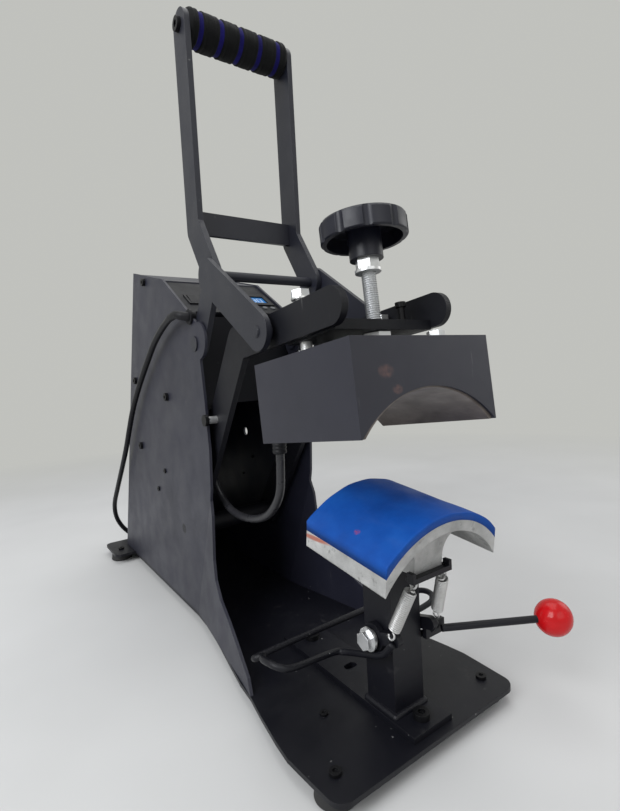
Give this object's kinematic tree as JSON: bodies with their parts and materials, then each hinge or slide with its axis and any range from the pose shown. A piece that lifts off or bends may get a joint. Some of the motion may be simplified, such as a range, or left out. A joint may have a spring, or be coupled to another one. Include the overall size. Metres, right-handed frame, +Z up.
{
  "type": "cap heat press",
  "caption": "Benchtop press whose curved heated head swings down on toggle arms over a curved padded platen, with a knob screw for pressure and a sprung wire hold-down for the cap.",
  "frame": {"origin": "middle of the four feet on the bench plane", "axes": "+Z up, the front with the platen faces -Y, +X is the side of the hold-down lever, seen from behind the press to the right"},
  "size_m": [0.267, 0.818, 0.6711],
  "materials": {
    "black_paint": "satin powder coat",
    "rubber": "matte",
    "plated_steel": "bright zinc",
    "black_screw": "black oxide",
    "black_plastic": "moulded",
    "blue_window": "gloss",
    "key_grey": "matte",
    "foam": "foam",
    "foam_blue": "foam",
    "cast_alloy": "sand cast",
    "element": "coated",
    "insulation": "fibre board",
    "silicone": "silicone sponge",
    "red_ball": "gloss",
    "lead_sleeve": "sleeved cable",
    "brass": "bright"
  },
  "bodies": {
    "frame": {"base_plate": "black_paint", "rubber_feet": "rubber", "side_plate_left": "black_paint", "side_plate_right": "black_paint", "cabinet_screw_set": "black_screw", "rear_cover": "black_paint", "top_cover": "black_paint", "control_box": "black_paint", "control_panel": "black_paint", "display_window": "blue_window", "display_bezel": "black_plastic", "power_switch": "black_plastic", "panel_keys": "key_grey", "cable_glands": "black_plastic", "arm_pivot_shaft": "plated_steel", "handle_pins": "black_paint", "foot_plate": "black_paint", "foot_plate_bolts": "black_screw", "post": "black_paint", "platen_casting": "cast_alloy", "silicone_pad": "silicone", "spring_bar": "black_paint", "hold_down_bolt": "plated_steel", "hold_down_springs": "plated_steel", "heater_lead": "lead_sleeve", "mains_cord": "rubber", "cord_coil": "rubber", "plug_body": "black_plastic", "plug_pins": "brass"},
    "handle": {"handle_bar_left": "black_paint", "handle_bar_right": "black_paint", "handle_cross_bar": "black_paint", "knee_shaft": "black_paint", "grip_rod": "plated_steel", "foam_grip": "foam", "grip_screws": "black_screw"},
    "links": {"link_left": "black_paint", "link_right": "black_paint", "link_pins": "black_paint"},
    "arms": {"arm_left": "black_paint", "arm_right": "black_paint", "arm_tube": "black_paint", "cross_plate": "black_paint", "arm_bolts": "plated_steel", "stop_screw": "black_paint"},
    "head": {"head_cover": "black_paint", "heating_element": "element", "insulation_pad": "insulation", "head_studs": "plated_steel", "guide_bolts": "plated_steel", "thrust_nut": "plated_steel", "head_gland": "black_plastic"},
    "knob": {"pressure_screw": "plated_steel", "lock_nut": "plated_steel", "pressure_knob": "black_plastic"},
    "hold_down": {"hub_left": "black_paint", "hub_right": "black_paint", "bail_wire": "black_paint", "lever_rod": "black_paint", "lever_ball": "red_ball"}
  },
  "joints": [
    {"name": "handle_swing", "type": "hinge", "parent": "frame", "child": "handle", "pos_m": [0, -0.0596, 0.3324], "axis": [1, 0, 0], "range_deg": [0, 70.95]},
    {"name": "arm_swing", "type": "hinge", "parent": "frame", "child": "arms", "pos_m": [0, 0.0185, 0.1127], "axis": [1, 0, 0], "range_deg": [0, 13.5], "deforming": ["heater_lead"]},
    {"name": "link_swing", "type": "hinge", "parent": "handle", "child": "links", "pos_m": [0, -0.1032, 0.3964], "axis": [1, 0, 0], "range_deg": [-86.06, 0]},
    {"name": "head_slide", "type": "slide", "parent": "arms", "child": "head", "axis": [0, 0.1028, 0.9947], "range_m": [-0.00656, 0]},
    {"name": "knob_turn", "type": "hinge", "parent": "head", "child": "knob", "pos_m": [0, -0.27045, 0.31079], "axis": [0, 0.1028, 0.9947], "range_deg": [-1350, 0]},
    {"name": "hold_down_lift", "type": "hinge", "parent": "frame", "child": "hold_down", "pos_m": [0, -0.272, 0.082], "axis": [1, 0, 0], "range_deg": [0, 35], "stiffness_Nm_per_rad": 0.6, "springref_deg": -20.05, "deforming": ["hold_down_springs"]}
  ],
  "couplings": [
    {"joint": "arm_swing", "follows": "handle_swing", "ratio": 0.19027},
    {"joint": "link_swing", "follows": "handle_swing", "ratio": -1.2129},
    {"joint": "knob_turn", "follows": "head_slide", "rad_per_m": 3590.4}
  ]
}
